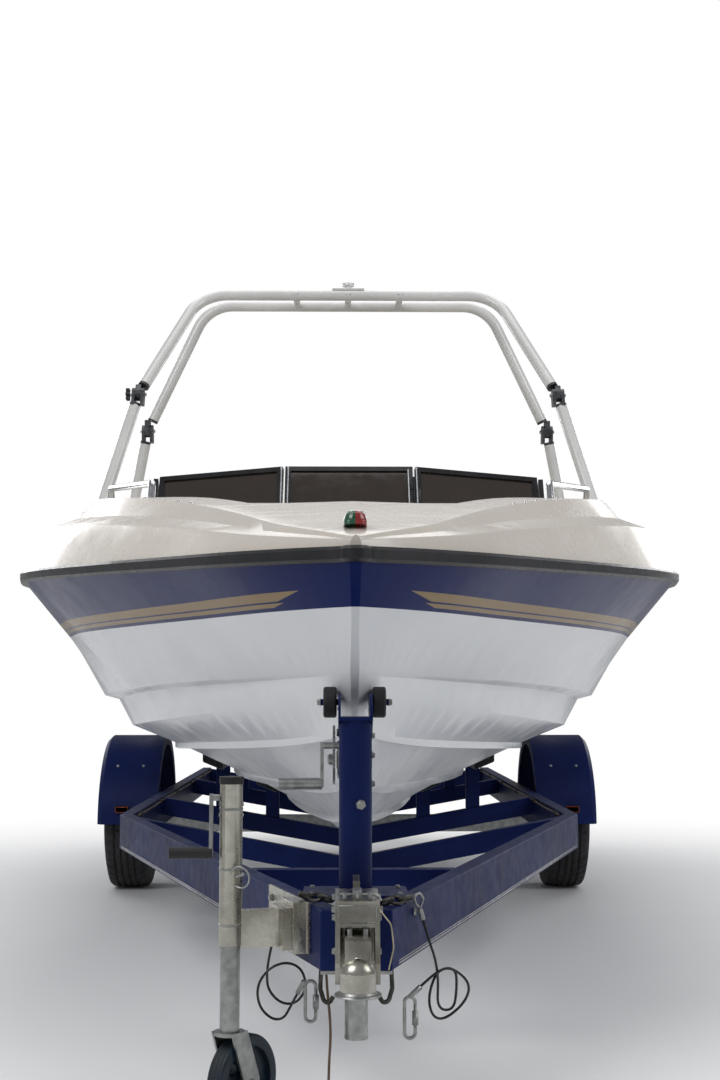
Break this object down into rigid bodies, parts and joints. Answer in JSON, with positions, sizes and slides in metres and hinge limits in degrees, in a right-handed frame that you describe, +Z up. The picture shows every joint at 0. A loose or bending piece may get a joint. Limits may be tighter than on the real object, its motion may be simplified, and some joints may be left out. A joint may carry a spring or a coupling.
{
  "type": "open-bow speedboat with towing tower on a single-axle trailer",
  "caption": "Open-bow runabout with a towing tower and stern drive, seated on its V-tongue trailer with a swing-up jack and ball coupler.",
  "frame": {"origin": "on the floor, at the middle of the whole object's length and width", "axes": "+Z up, the bow and coupler point to -Y, port is +X"},
  "size_m": [2.5, 7.1595, 2.8664],
  "materials": {
    "black_plastic": "black plastic",
    "black_vinyl": "black vinyl",
    "bow_lens": "bow lens",
    "bunk_carpet": "bunk carpet",
    "cable_vinyl": "cable vinyl",
    "caster_plastic": "caster plastic",
    "dark_frame": "dark frame",
    "deck_gelcoat": "deck gelcoat",
    "drive_black": "drive black",
    "engine_paint": "engine paint",
    "knuckle_grey": "knuckle grey",
    "lamp_lens": "lamp lens",
    "lead_jacket": "lead jacket",
    "marine_vinyl": "marine vinyl",
    "navy_paint": "navy paint",
    "roller_rubber": "roller rubber",
    "smoked_glass": "smoked glass",
    "stainless": "stainless",
    "strap_webbing": "strap webbing",
    "tower_white": "tower white",
    "tyre_rubber": "tyre rubber",
    "wheel_paint": "wheel paint",
    "white_gelcoat": "white gelcoat",
    "yellow_zinc": "yellow zinc",
    "zinc": "zinc"
  },
  "bodies": {
    "boat_and_trailer": {"hull": "white_gelcoat", "deck": "deck_gelcoat", "rub_rail": "black_vinyl", "bow_light": "bow_lens", "cleats": "stainless", "grab_rails": "stainless", "windshield_frame": "dark_frame", "windshield_glass": "smoked_glass", "throttle": "black_plastic", "bow_cushions": "marine_vinyl", "seat_bases": "deck_gelcoat", "seat_cushions": "marine_vinyl", "bench_cushions": "marine_vinyl", "engine": "engine_paint", "tower_legs": "tower_white", "tower_lower_knuckles": "knuckle_grey", "swim_platform": "white_gelcoat", "gimbal_housing": "drive_black", "trailer_rails": "navy_paint", "cross_members": "navy_paint", "bunks": "bunk_carpet", "bunk_brackets": "navy_paint", "winch_post": "navy_paint", "bow_stop": "navy_paint", "bow_rollers": "roller_rubber", "winch": "zinc", "bow_eye": "stainless", "winch_strap": "strap_webbing", "coupler": "yellow_zinc", "tongue_plates": "zinc", "jack_bracket": "yellow_zinc", "axle": "zinc", "fenders": "navy_paint", "lamps": "lamp_lens", "cable_fittings": "zinc", "port_safety_cable": "cable_vinyl", "safety_links": "zinc", "starboard_safety_cable": "cable_vinyl", "wiring_lead": "lead_jacket"},
    "windshield_gate": {"gate_frame": "dark_frame", "gate_glass": "smoked_glass"},
    "helm": {"helm_wheel": "black_plastic"},
    "hatch": {"engine_hatch": "deck_gelcoat", "sun_pad": "marine_vinyl"},
    "tower": {"tower_hoops": "tower_white", "tower_upper_knuckles": "knuckle_grey"},
    "boarding_ladder": {"ladder": "stainless"},
    "gimbal": {"gimbal_ring": "drive_black"},
    "drive": {"drive_leg": "drive_black"},
    "propeller": {"propeller": "drive_black"},
    "trim_barrels": {"trim_barrels": "drive_black"},
    "trim_rods": {"trim_rods": "stainless"},
    "jack": {"jack_outer": "yellow_zinc"},
    "jack_leg": {"jack_inner": "zinc"},
    "caster": {"caster_fork": "zinc"},
    "caster_roller": {"caster_wheel": "caster_plastic"},
    "wheel_port": {"tyre_port": "tyre_rubber", "rim_port": "wheel_paint"},
    "wheel_starboard": {"tyre_starboard": "tyre_rubber", "rim_starboard": "wheel_paint"}
  },
  "joints": [
    {"name": "gate_swing", "type": "hinge", "parent": "boat_and_trailer", "child": "windshield_gate", "pos_m": [0.268, -0.55276, 1.61358], "axis": [0, 0.5255, 0.8508], "range_deg": [0, 135]},
    {"name": "helm_turn", "type": "hinge", "parent": "boat_and_trailer", "child": "helm", "pos_m": [-0.48, 0.139, 1.42], "axis": [0, 0.9063, 0.4226], "range_deg": [-505, 505]},
    {"name": "hatch_lift", "type": "hinge", "parent": "boat_and_trailer", "child": "hatch", "pos_m": [0, 2.89, 1.455], "axis": [-1, 0, 0], "range_deg": [0, 60]},
    {"name": "tower_fold", "type": "hinge", "parent": "boat_and_trailer", "child": "tower", "pos_m": [0, 0.7, 2.207], "axis": [-1, 0, 0], "range_deg": [0, 90]},
    {"name": "ladder_fold", "type": "hinge", "parent": "boat_and_trailer", "child": "boarding_ladder", "pos_m": [0, 3.405, 1.047], "axis": [-1, 0, 0], "range_deg": [0, 255]},
    {"name": "drive_steer", "type": "hinge", "parent": "boat_and_trailer", "child": "gimbal", "pos_m": [0, 3.025, 0.7], "axis": [0, 0, 1], "range_deg": [-28, 28]},
    {"name": "drive_tilt", "type": "hinge", "parent": "gimbal", "child": "drive", "pos_m": [0, 3.025, 0.7], "axis": [1, 0, 0], "range_deg": [0, 38]},
    {"name": "propeller_spin", "type": "hinge", "parent": "drive", "child": "propeller", "pos_m": [0, 3.58, 0.265], "axis": [0, 1, 0], "continuous": true},
    {"name": "trim_pivot", "type": "hinge", "parent": "gimbal", "child": "trim_barrels", "pos_m": [0, 3.025, 0.61], "axis": [1, 0, 0], "range_deg": [0, 33.28]},
    {"name": "trim_extend", "type": "slide", "parent": "trim_barrels", "child": "trim_rods", "axis": [0, 0.9943, 0.1065], "range_m": [0, 0.05164]},
    {"name": "jack_swing", "type": "hinge", "parent": "boat_and_trailer", "child": "jack", "pos_m": [-0.275, -3.2, 0.43], "axis": [0.9532, 0.3024, 0], "range_deg": [0, 90]},
    {"name": "jack_retract", "type": "slide", "parent": "jack", "child": "jack_leg", "axis": [0, 0, 1], "range_m": [0, 0.155]},
    {"name": "caster_swivel", "type": "hinge", "parent": "jack_leg", "child": "caster", "pos_m": [-0.275, -3.2, 0.214], "axis": [0, 0, 1], "continuous": true},
    {"name": "caster_spin", "type": "hinge", "parent": "caster", "child": "caster_roller", "pos_m": [-0.24919, -3.16314, 0.1], "axis": [0.8192, -0.5736, 0], "continuous": true},
    {"name": "wheel_port_spin", "type": "hinge", "parent": "boat_and_trailer", "child": "wheel_port", "pos_m": [1.045, 0.9, 0.33], "axis": [1, 0, 0], "continuous": true},
    {"name": "wheel_starboard_spin", "type": "hinge", "parent": "boat_and_trailer", "child": "wheel_starboard", "pos_m": [-1.045, 0.9, 0.33], "axis": [1, 0, 0], "continuous": true}
  ],
  "couplings": [
    {"joint": "helm_turn", "follows": "drive_steer", "ratio": -18},
    {"joint": "trim_pivot", "follows": "drive_tilt", "ratio": 0.8706},
    {"joint": "trim_extend", "follows": "drive_tilt", "m_per_rad": 0.0771}
  ]
}
